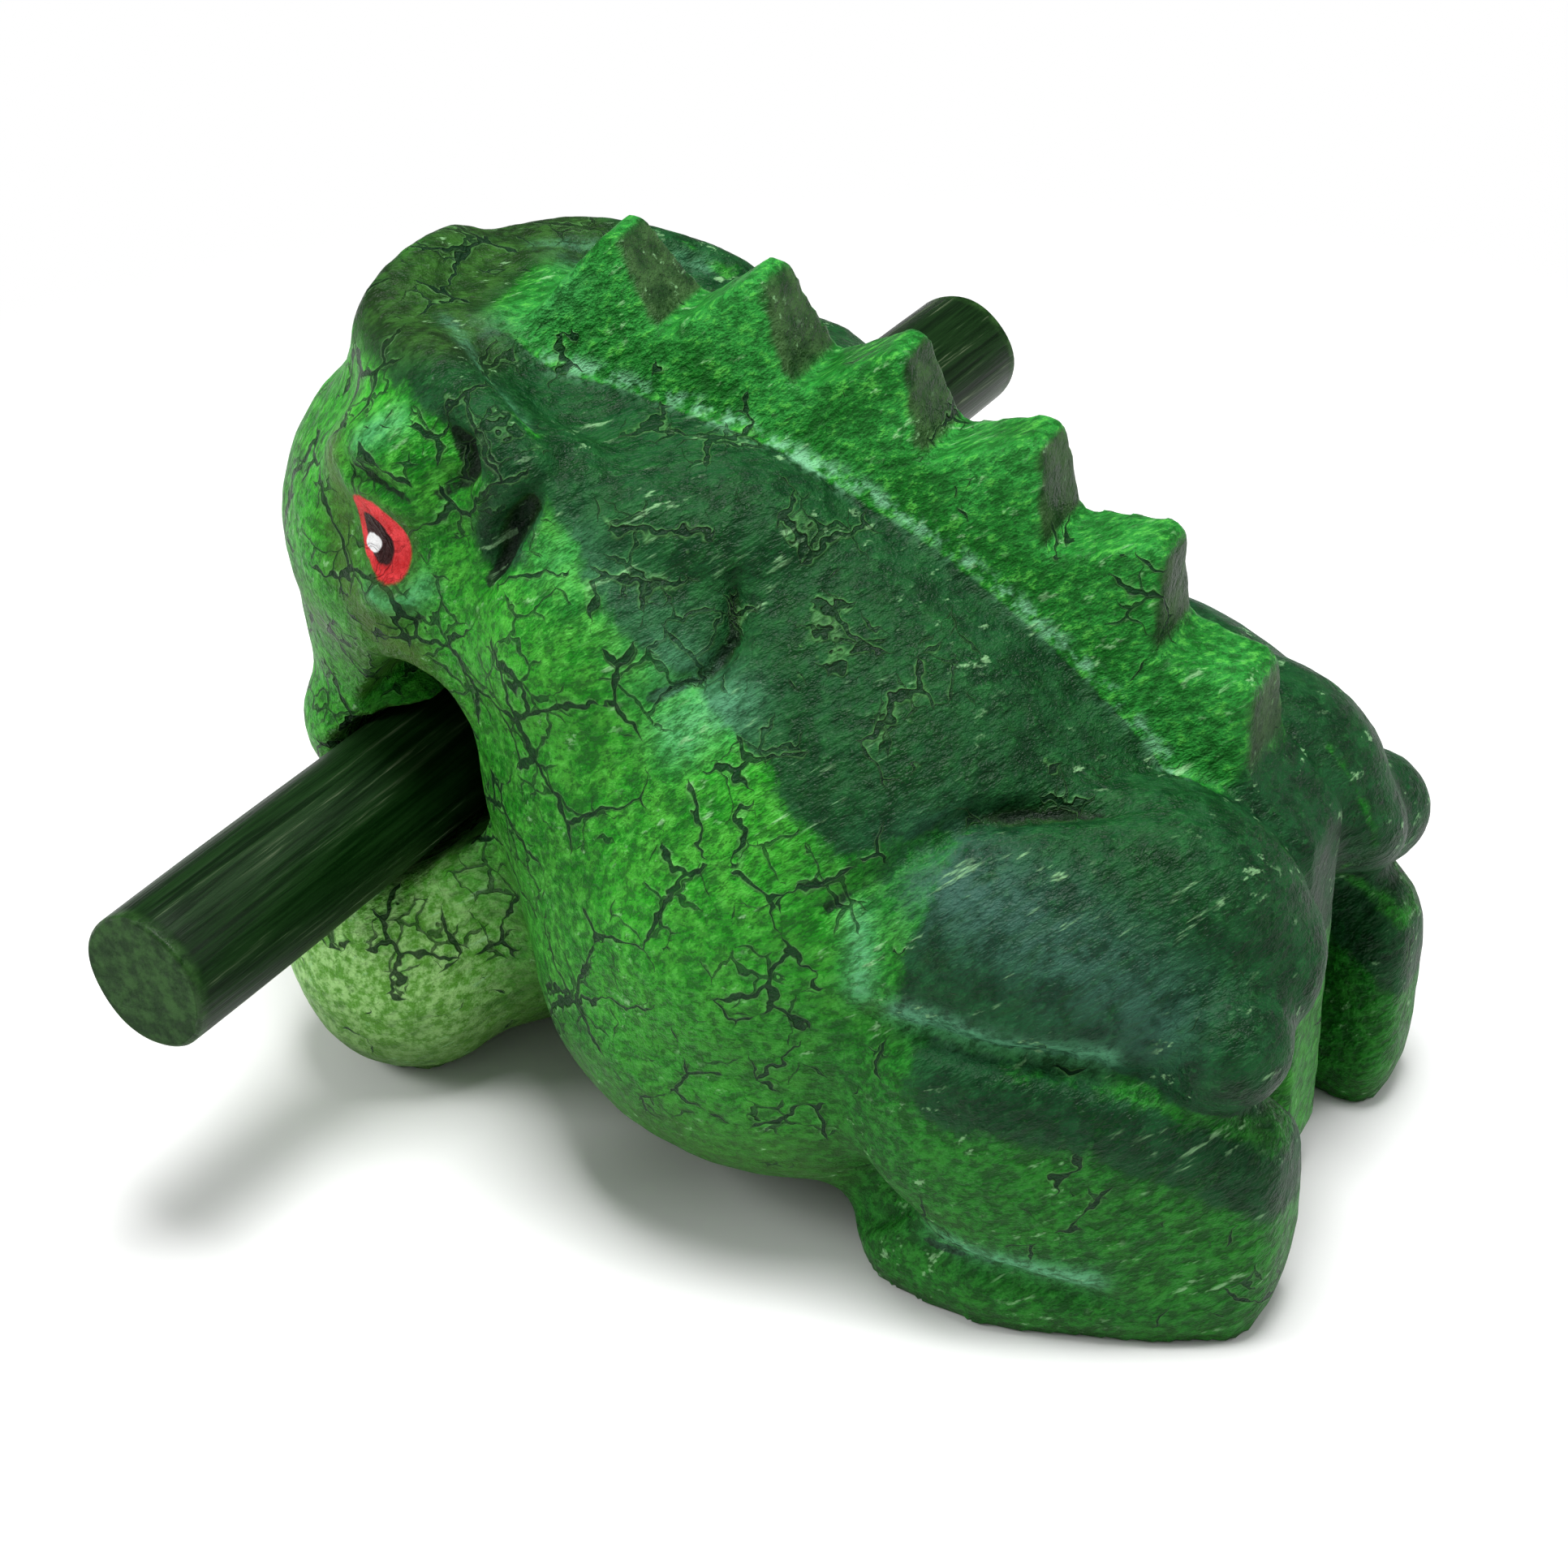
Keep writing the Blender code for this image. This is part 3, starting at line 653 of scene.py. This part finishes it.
# The middle along and across the eye and the half sizes, all in mm, and the softness of the edge
EYE_PARTS = {"Iris": (0, 0, 4.1, 2.8, 0.1), "Pupil": (0.2, 0.45, 2.45, 1.4, 0.16),
             "Dot": (0.5, 1.3, 0.80, 1.0, 0.2), "Rim": (0, 0, 4.9, 3.6, 0.25)}
eye, inside, outside = new_group("painted eye", {"Vector": None}, EYE_PARTS)
split = add(eye, "ShaderNodeSeparateXYZ", None,
            Vector=vector_maths(eye, 'SUBTRACT', inside["Vector"], (FROG_X, FROG_Y, 0))).outputs
mirrored = add(eye, "ShaderNodeCombineXYZ", None, X=maths(eye, 'ABSOLUTE', split[0]), Y=split[1],
               Z=split[2]).outputs[0]
from_eye = vector_maths(eye, 'SUBTRACT', mirrored, tuple(EYE_MIDDLE * MM))
slip = noise(eye, inside["Vector"], 500.0, 2.0, 0.6)["Fac"]
slip = times(eye, maths(eye, 'SUBTRACT', slip, 0.5), BRUSH_SLIP)
along_eye, across_eye, out_of_eye = (vector_maths(eye, 'DOT_PRODUCT', from_eye, tuple(way))
                                     for way in (EYE_LONG, EYE_ACROSS, EYE_OUT))
on_cheek = between(eye, maths(eye, 'ABSOLUTE', out_of_eye), 4 * MM, 5 * MM, 1.0, 0.0)


def reach(distance, middle, half, power):
    """How far along one way a point is: 0 at the middle of the shape and 1 at its edge."""
    moved = maths(eye, 'ADD', maths(eye, 'SUBTRACT', distance, middle * MM), slip)
    return maths(eye, 'POWER', maths(eye, 'ABSOLUTE', maths(eye, 'DIVIDE', moved, half * MM)), power)


for label, (long_middle, across_middle, long_half, across_half, soft) in EYE_PARTS.items():
    far = maths(eye, 'ADD', reach(along_eye, long_middle, long_half, 1.8),
                reach(across_eye, across_middle, across_half, 2.0))
    inner = between(eye, far, 1.0 - soft, 1.0 + soft, 1.0, 0.0)
    eye.links.new(times(eye, inner, on_cheek), outside[label])
print("eye group has", len(eye.nodes), "nodes")

# %% [markdown]
# The frog's paint is one finish in coats. The ground coat is a mottled bright green that is bluer on
# the crest, with dark and light flecks along the brush's way, a pale chest, and painted shade: olive
# on faces turned down, and darker on the legs and low belly.

# %% Colours of the frog
LEAF_DARK = linear(12, 110, 12)
LEAF_BRIGHT = linear(42, 152, 30)
LEAF_SPECK = linear(80, 172, 54)
CREST_DARK = linear(18, 104, 26)
CREST_LIGHT = linear(40, 136, 50)
FLECK_DARK = linear(8, 74, 14)
FLECK_LIGHT = linear(92, 194, 72)
CHIN_GREEN = linear(92, 156, 50)
CHIN_PALE = linear(164, 214, 130)
TURNED_DOWN_SHADE = linear(58, 94, 32)
SHADE_DARK = linear(2, 62, 8)
SHADE_LIGHT = linear(18, 106, 26)
DULL_DARK = linear(26, 58, 24)
DULL_LIGHT = linear(58, 92, 48)
SPRAY_DARK = linear(2, 38, 17)
SPRAY_LIGHT = linear(16, 70, 35)
SPRAY_FLECK = linear(30, 92, 46)
RECESS_SHADE_DARK = linear(22, 46, 14)
RECESS_SHADE_LIGHT = linear(44, 86, 28)
CREASE_SHADE = linear(6, 26, 12)
VALLEY_OLIVE = linear(74, 96, 40)
REFLECTION_GREY = linear(66, 104, 96)
HIGHLIGHT_MINT = linear(108, 184, 140)
HIGHLIGHT_DASH = linear(128, 196, 150)
HAIR_SHADE = linear(26, 70, 30)
HAIR_PALE = linear(150, 204, 144)
LIP_HIGHLIGHT = linear(120, 190, 108)
CRACK_IN_GREEN = linear(6, 40, 20)
CRACK_IN_SPRAY = linear(2, 26, 12)
EYE_RIM = linear(60, 96, 40)
EYE_RED = linear(196, 34, 38)
EYE_PINK = linear(240, 70, 74)
PUPIL_BROWN = linear(50, 18, 18)
DOT_WHITE = linear(250, 250, 250)
print("bright green as a shader reads it", LEAF_BRIGHT)

# %% Frog paint: ground coat
frog_paint, tree, shader = new_finish("frog_paint")
spot = add(tree, "ShaderNodeTexCoord").outputs["Object"]
patches = noise(tree, spot, 70.0, 2.5, 0.6)["Fac"]
specks = noise(tree, spot, 420.0, 3.0, 0.7)["Fac"]
chin_grain = noise(tree, spot, 900.0, 3.0, 0.7)["Fac"]
hair = grouped(tree, fibres, Vector=spot, Fineness=1000.0)
mottle = hair["Mottle"]


def mask(name):
    """One of the masks that are kept on the frog's skin."""
    return add(tree, "ShaderNodeAttribute", {"attribute_name": name}).outputs["Fac"]


def coat(share, over_coat):
    """One more coat over the colour so far."""
    return mixed(tree, share, colour, over_coat)


colour = mixed(tree, between(tree, patches, 0.35, 0.65), LEAF_DARK, LEAF_BRIGHT)
colour = coat(between(tree, specks, 0.38, 0.7, 0.0, 0.55), LEAF_SPECK)
crest = mixed(tree, between(tree, patches, 0.4, 0.6), CREST_DARK, CREST_LIGHT)
colour = coat(mask("comb"), crest)
colour = coat(between(tree, mottle, 0.51, 0.41, 0.0, 0.65), FLECK_DARK)
colour = coat(between(tree, mottle, 0.53, 0.66, 0.0, 0.5), FLECK_LIGHT)
chin = mixed(tree, between(tree, chin_grain, 0.38, 0.62), CHIN_GREEN, CHIN_PALE)
colour = coat(times(tree, mask("pale"), 0.95), chin)
# Painted shade in olive on faces that turn downwards
colour = coat(times(tree, mask("under"), 0.75), TURNED_DOWN_SHADE)
# Painted shade on the legs and the low belly
shade = mixed(tree, between(tree, mottle, 0.40, 0.64), SHADE_DARK, SHADE_LIGHT)
colour = coat(times(tree, mask("shaded"), 0.75), shade)
print("ground coat has", len(tree.nodes), "nodes")

# %% [markdown]
# Over the ground come the dull brush on the teeth and the dark spray. A spray has no sharp edge: its
# mask is broken up by two noises before it is cut, so that it ends in a cloud of specks.

# %% Frog paint: dull teeth and dark spray
dull = mixed(tree, between(tree, specks, 0.35, 0.65), DULL_DARK, DULL_LIGHT)
colour = coat(mask("rear_face"), dull)
cloudy = times(tree, maths(tree, 'SUBTRACT', patches, 0.5), 0.5)
speckled = maths(tree, 'SUBTRACT', specks, 0.5)
spray_edge = maths(tree, 'ADD', maths(tree, 'ADD', mask("spray"), cloudy), speckled)
sprayed = between(tree, spray_edge, 0.30, 0.72)
dark = mixed(tree, between(tree, specks, 0.35, 0.68), SPRAY_DARK, SPRAY_LIGHT)
dark = mixed(tree, between(tree, mottle, 0.54, 0.70, 0.0, 0.5), dark, SPRAY_FLECK)
colour = coat(times(tree, sprayed, 0.93), dark)
# Painted shade in the cuts and in the bowl of the forehead
bowl = mixed(tree, between(tree, specks, 0.4, 0.66), RECESS_SHADE_DARK, RECESS_SHADE_LIGHT)
colour = coat(between(tree, mask("recess_shade"), 0.18, 0.75, 0.0, 0.92), bowl)
print("with the spray it has", len(tree.nodes), "nodes")

# %% Frog paint: creases, sheen and brushed edges
# Painted shade in the deepest creases, broken up by specks
crease_shaded = maths(tree, 'ADD', mask("crease_shade"), times(tree, speckled, 1.2))
colour = coat(between(tree, crease_shaded, 0.45, 0.70, 0.0, 0.9), CREASE_SHADE)
colour = coat(times(tree, mask("olive"), 0.65), VALLEY_OLIVE)
# Painted grey reflection on the thigh
colour = coat(times(tree, mask("painted_reflection"), between(tree, specks, 0.35, 0.6, 0.2, 0.6)), REFLECTION_GREY)
# Painted highlights in mint along the high edges
highlighted = times(tree, mask("painted_highlight"), between(tree, mottle, 0.36, 0.6, 0.25, 1.0))
colour = coat(times(tree, highlighted, 0.7), HIGHLIGHT_MINT)
# Painted highlight in mint dashes along the foot of the crest
highlight_dashes = times(tree, mask("step_highlight"), between(tree, specks, 0.44, 0.60))
colour = coat(times(tree, highlight_dashes, 0.75), HIGHLIGHT_DASH)
colour = coat(between(tree, hair["Grain"], 0.3, 0.5, 0.35, 0.0), HAIR_SHADE)
colour = coat(times(tree, hair["Light hairs"], 0.55), HAIR_PALE)
print("with its edges it has", len(tree.nodes), "nodes")

# %% [markdown]
# The crackle is laid on twice, once with wide cells and once with fine ones, and it is strongest on
# the belly and the face. The eyes are painted last, over everything.

# %% Frog paint: cracks and eyes
share = between(tree, mask("crackled"), 0.0, 1.0, 0.38, 0.56)
share = maths(tree, 'SUBTRACT', share, times(tree, sprayed, 0.06))
fine_share = maths(tree, 'SUBTRACT', share, 0.05)
wide = grouped(tree, crackle, Vector=spot, Cells_per_metre=115.0, Width=0.030, Kept=share)
fine = grouped(tree, crackle, Vector=spot, Cells_per_metre=270.0, Width=0.045, Kept=fine_share)
cracked = maths(tree, 'MAXIMUM', wide["Crack"], times(tree, fine["Crack"], 0.8))
lipped = maths(tree, 'MAXIMUM', wide["Lip"], times(tree, fine["Lip"], 0.7))
# A painted highlight on the lip beside each crack
colour = coat(times(tree, lipped, between(tree, sprayed, 0.0, 0.8, 0.34, 0.32)), LIP_HIGHLIGHT)
crack_colour = mixed(tree, sprayed, CRACK_IN_GREEN, CRACK_IN_SPRAY)
colour = coat(times(tree, cracked, between(tree, sprayed, 0.0, 1.0, 0.9, 0.6)), crack_colour)
painted = grouped(tree, eye, Vector=spot)
red = mixed(tree, between(tree, specks, 0.4, 0.7), EYE_RED, EYE_PINK)
colour = coat(times(tree, painted["Rim"], 0.5), EYE_RIM)
colour = coat(painted["Iris"], red)
colour = coat(painted["Pupil"], PUPIL_BROWN)
colour = coat(painted["Dot"], DOT_WHITE)
print("with cracks and eyes it has", len(tree.nodes), "nodes")

# %% Frog paint: gloss and relief
tree.links.new(colour, shader.inputs["Base Color"])
tree.links.new(between(tree, specks, 0.3, 0.7, 0.40, 0.56), shader.inputs["Roughness"])
shader.inputs["Specular IOR Level"].default_value = 0.14
relief = maths(tree, 'ADD', times(tree, lipped, 0.35), times(tree, cracked, -1.0))
relief = maths(tree, 'ADD', relief, times(tree, hair["Grain"], 0.7))
relief = maths(tree, 'ADD', relief, mottle)
bump = add(tree, "ShaderNodeBump", None, Height=relief, Strength=0.9, Distance=0.55 * MM).outputs[0]
tree.links.new(bump, shader.inputs["Normal"])
frog.data.materials.clear()
frog.data.materials.append(frog_paint)
print("frog paint has", len(tree.nodes), "nodes")

# %% [markdown]
# The striker is a dowel, sawn to length and rounded on its ends. A cylinder is a start: its two ends
# are inset, so that the bevel has a ring to lean on, and the rims are rounded with a bevel.

# %% Striker stick
END_ROOM = 0.5 * MM
RIM_INSET, RIM_ROUND = 0.4 * MM, 1.7 * MM
bpy.ops.object.select_all(action='DESELECT')
bpy.ops.mesh.primitive_cylinder_add(vertices=64, radius=STICK_RADIUS, depth=STICK_LENGTH - END_ROOM,
                                    end_fill_type='NGON')
striker = bpy.context.object
striker.name = "painted_striker"
bpy.ops.object.mode_set(mode='EDIT')
bpy.ops.mesh.select_mode(type='FACE')
bpy.ops.mesh.select_all(action='DESELECT')
bpy.ops.object.mode_set(mode='OBJECT')
for face in striker.data.polygons:
    face.select = len(face.vertices) > 4
bpy.ops.object.mode_set(mode='EDIT')
bpy.ops.mesh.inset(thickness=RIM_INSET)
bpy.ops.object.mode_set(mode='OBJECT')
ease = striker.modifiers.new("eased rims", 'BEVEL')
ease.width = RIM_ROUND
ease.segments = 5
ease.limit_method = 'ANGLE'
ease.angle_limit = math.radians(60)
take(striker)
bpy.ops.object.modifier_apply(modifier="eased rims")
print("striker", len(striker.data.polygons), "faces")

# %% [markdown]
# A dowel that was scraped by hand isn't a perfect cylinder. Cuts across it give it enough rings, and
# two slow waves then take off a few hundredths here and there, always inwards. Each vertex keeps its place
# along the straight stick as an attribute, so the paint can run with the stick after it is laid down.

# %% Its rings, its waver and its place
RINGS = 60
PLAIN_ENDS = 6 * MM
build = bmesh.new()
build.from_mesh(striker.data)
for ring in range(1, RINGS):
    height = (ring / RINGS - 0.5) * (STICK_LENGTH - PLAIN_ENDS)
    bmesh.ops.bisect_plane(build, geom=build.verts[:] + build.edges[:] + build.faces[:],
                           plane_co=(0, 0, height), plane_no=(0, 0, 1))
build.to_mesh(striker.data)
build.free()
for vertex in striker.data.vertices:
    turn = math.atan2(vertex.co.y, vertex.co.x)
    height = vertex.co.z / MM
    oval_wave = 0.012 * (1 + math.sin(height / 9 + 2 * turn))
    facet_wave = 0.010 * (1 + math.sin(5 * turn + height / 31))
    vertex.co.x *= 1 - oval_wave - facet_wave
    vertex.co.y *= 1 - oval_wave - facet_wave
for face in striker.data.polygons:
    face.use_smooth = True
along = striker.data.attributes.new("along", 'FLOAT_VECTOR', 'POINT')
along.data.foreach_set("vector", [c for vertex in striker.data.vertices for c in vertex.co])
striker.data.transform(stick_lay)
striker.data.update()
print("striker now", len(striker.data.polygons), "faces")

# %% [markdown]
# The stick is painted dark green with a dry brush that left pale streaks along it, and its sawn ends
# show the grain. The streaks are noise on a place that is squeezed lengthwise.

# %% Striker paint
SQUEEZE = (1.0, 1.0, 0.035)
STICK_DARK = linear(2, 24, 2)
STICK_GREEN = linear(16, 46, 12)
STREAK_PALE = linear(116, 128, 100)
END_DARK = linear(10, 40, 6)
END_GREEN = linear(40, 74, 30)
stick_paint, tree, shader = new_finish("striker_paint")
lengthwise = add(tree, "ShaderNodeAttribute", {"attribute_name": "along"}).outputs["Vector"]
split = add(tree, "ShaderNodeSeparateXYZ", None, Vector=lengthwise).outputs
squeezed = vector_maths(tree, 'MULTIPLY', lengthwise, SQUEEZE)
streaks = noise(tree, squeezed, 1500.0, 4.0, 0.7)["Fac"]
broad = noise(tree, squeezed, 500.0, 3.0, 0.6)["Fac"]
worn = noise(tree, lengthwise, 90.0, 3.0, 0.6)["Fac"]
end_grain = noise(tree, lengthwise, 700.0, 5.0, 0.75)["Fac"]
colour = mixed(tree, between(tree, streaks, 0.35, 0.62), STICK_DARK, STICK_GREEN)
pale_streak = times(tree, between(tree, streaks, 0.56, 0.70), between(tree, broad, 0.44, 0.60))
colour = coat(times(tree, pale_streak, between(tree, worn, 0.35, 0.6, 0.25, 0.8)), STREAK_PALE)
from_middle = maths(tree, 'ABSOLUTE', split[2])
at_end = between(tree, from_middle, STICK_LENGTH / 2 - 1.9 * MM, STICK_LENGTH / 2 - 0.7 * MM)
sawn_end = mixed(tree, between(tree, end_grain, 0.35, 0.65), END_DARK, END_GREEN)
colour = coat(at_end, sawn_end)
tree.links.new(colour, shader.inputs["Base Color"])
tree.links.new(between(tree, streaks, 0.3, 0.7, 0.34, 0.5), shader.inputs["Roughness"])
shader.inputs["Specular IOR Level"].default_value = 0.16
relief = maths(tree, 'ADD', streaks, times(tree, end_grain, at_end))
bump = add(tree, "ShaderNodeBump", None, Height=relief, Strength=0.5, Distance=0.22 * MM).outputs[0]
tree.links.new(bump, shader.inputs["Normal"])
striker.data.materials.clear()
striker.data.materials.append(stick_paint)
print("striker paint has", len(tree.nodes), "nodes")

# %% [markdown]
# The frog stands on a plain white sheet that keeps the soft shadow. Away from the frog the sheet
# glows white for the camera alone, so that the picture ends in plain white and no light is added.

# %% Sheet
SHEET_SIZE = 3.0
GLOW_START, GLOW_FULL = 0.09, 0.19
SHEET_WHITE = linear(246, 246, 246)
bpy.ops.object.select_all(action='DESELECT')
bpy.ops.mesh.primitive_plane_add(size=SHEET_SIZE, location=(0, 0, cad_box[0][2]))
sheet = bpy.context.object
sheet.name = "white_sheet"
sheet_finish, tree, shader = new_finish("white_sheet")
shader.inputs["Base Color"].default_value = SHEET_WHITE
shader.inputs["Roughness"].default_value = 0.9
shader.inputs["Specular IOR Level"].default_value = 0.1
away = vector_maths(tree, 'LENGTH', add(tree, "ShaderNodeTexCoord").outputs["Object"])
glow = add(tree, "ShaderNodeEmission", None, Color=(1.0, 1.0, 1.0, 1.0), Strength=1.0).outputs[0]
seen = add(tree, "ShaderNodeLightPath").outputs["Is Camera Ray"]
lit = times(tree, between(tree, away, GLOW_START, GLOW_FULL), seen)
blend = tree.nodes.new("ShaderNodeMixShader")
for socket, output in zip(blend.inputs, (lit, shader.outputs[0], glow)):
    tree.links.new(output, socket)
tree.links.new(blend.outputs[0], tree.nodes["Material Output"].inputs["Surface"])
sheet.data.materials.append(sheet_finish)
print("sheet at", cad_box[0][2])

# %% [markdown]
# The light is that of a soft box: a broad lamp above, a weaker one from the front, a faint one behind
# and a pale sky all round. The camera sees the sky white, but it lights the frog only a little.

# %% Sky and lights
SKY_LIGHT, SKY_IN_GLOSS = 0.30, 0.13
FROG_CORE = Vector((FROG_X, 0, 0.04))
# A lamp's place, its size in metres and its power
LAMPS = {"top_light": ((0.03, 0.02, 0.62), 0.26, 4.3),
         "front_light": ((0.34, -0.50, 0.40), 0.26, 1.9),
         "rear_light": ((-0.20, 0.50, 0.35), 0.30, 0.8)}
sky = bpy.data.worlds.new("pale_sky")
bpy.context.scene.world = sky
sky.use_nodes = True
tree = sky.node_tree
backdrop = tree.nodes["Background"]
backdrop.inputs["Color"].default_value = (1.0, 1.0, 1.0, 1.0)
way = tree.nodes.new("ShaderNodeLightPath").outputs
dim = between(tree, way["Is Glossy Ray"], 0.0, 1.0, SKY_LIGHT, SKY_IN_GLOSS)
tree.links.new(maths(tree, 'MAXIMUM', way["Is Camera Ray"], dim), backdrop.inputs["Strength"])
for name, (place, size, power) in LAMPS.items():
    lamp = bpy.data.lights.new(name, 'AREA')
    lamp.shape = 'SQUARE'
    lamp.size = size
    lamp.energy = power
    held = bpy.data.objects.new(name, lamp)
    held.location = Vector(place)
    held.rotation_euler = (FROG_CORE - held.location).to_track_quat('-Z', 'Y').to_euler()
    bpy.context.scene.collection.objects.link(held)
print("lamps", ", ".join(LAMPS))

# %% [markdown]
# The camera stands to the left of the frog and well above it, a third of a metre away, and looks at
# the middle of the body.

# %% Camera
AZIMUTH, ELEVATION, REACH = math.radians(115), math.radians(33), 0.3255
LENS, SENSOR = 81.99, 36
LOOK_HEIGHT = 29 * MM
eye_way = Vector((math.sin(AZIMUTH) * math.cos(ELEVATION), -math.cos(AZIMUTH) * math.cos(ELEVATION),
                  math.sin(ELEVATION)))
lens = bpy.data.cameras.new("camera")
lens.sensor_width = SENSOR
lens.lens = LENS
lens.clip_start = 0.01
camera = bpy.data.objects.new("camera", lens)
camera.location = Vector((FROG_X, FROG_Y, LOOK_HEIGHT)) + REACH * eye_way
camera.rotation_euler = (-eye_way).to_track_quat('-Z', 'Y').to_euler()
bpy.context.scene.collection.objects.link(camera)
bpy.context.scene.camera = camera
bpy.context.scene.view_settings.view_transform = 'Standard'
print("camera at", camera.location)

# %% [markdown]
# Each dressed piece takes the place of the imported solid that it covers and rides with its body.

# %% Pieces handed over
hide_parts("frog_body")
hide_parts("striker_stick")
for piece, colour_slot in ((frog, "green_paint"), (striker, "dark_green_paint")):
    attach(piece, "root")
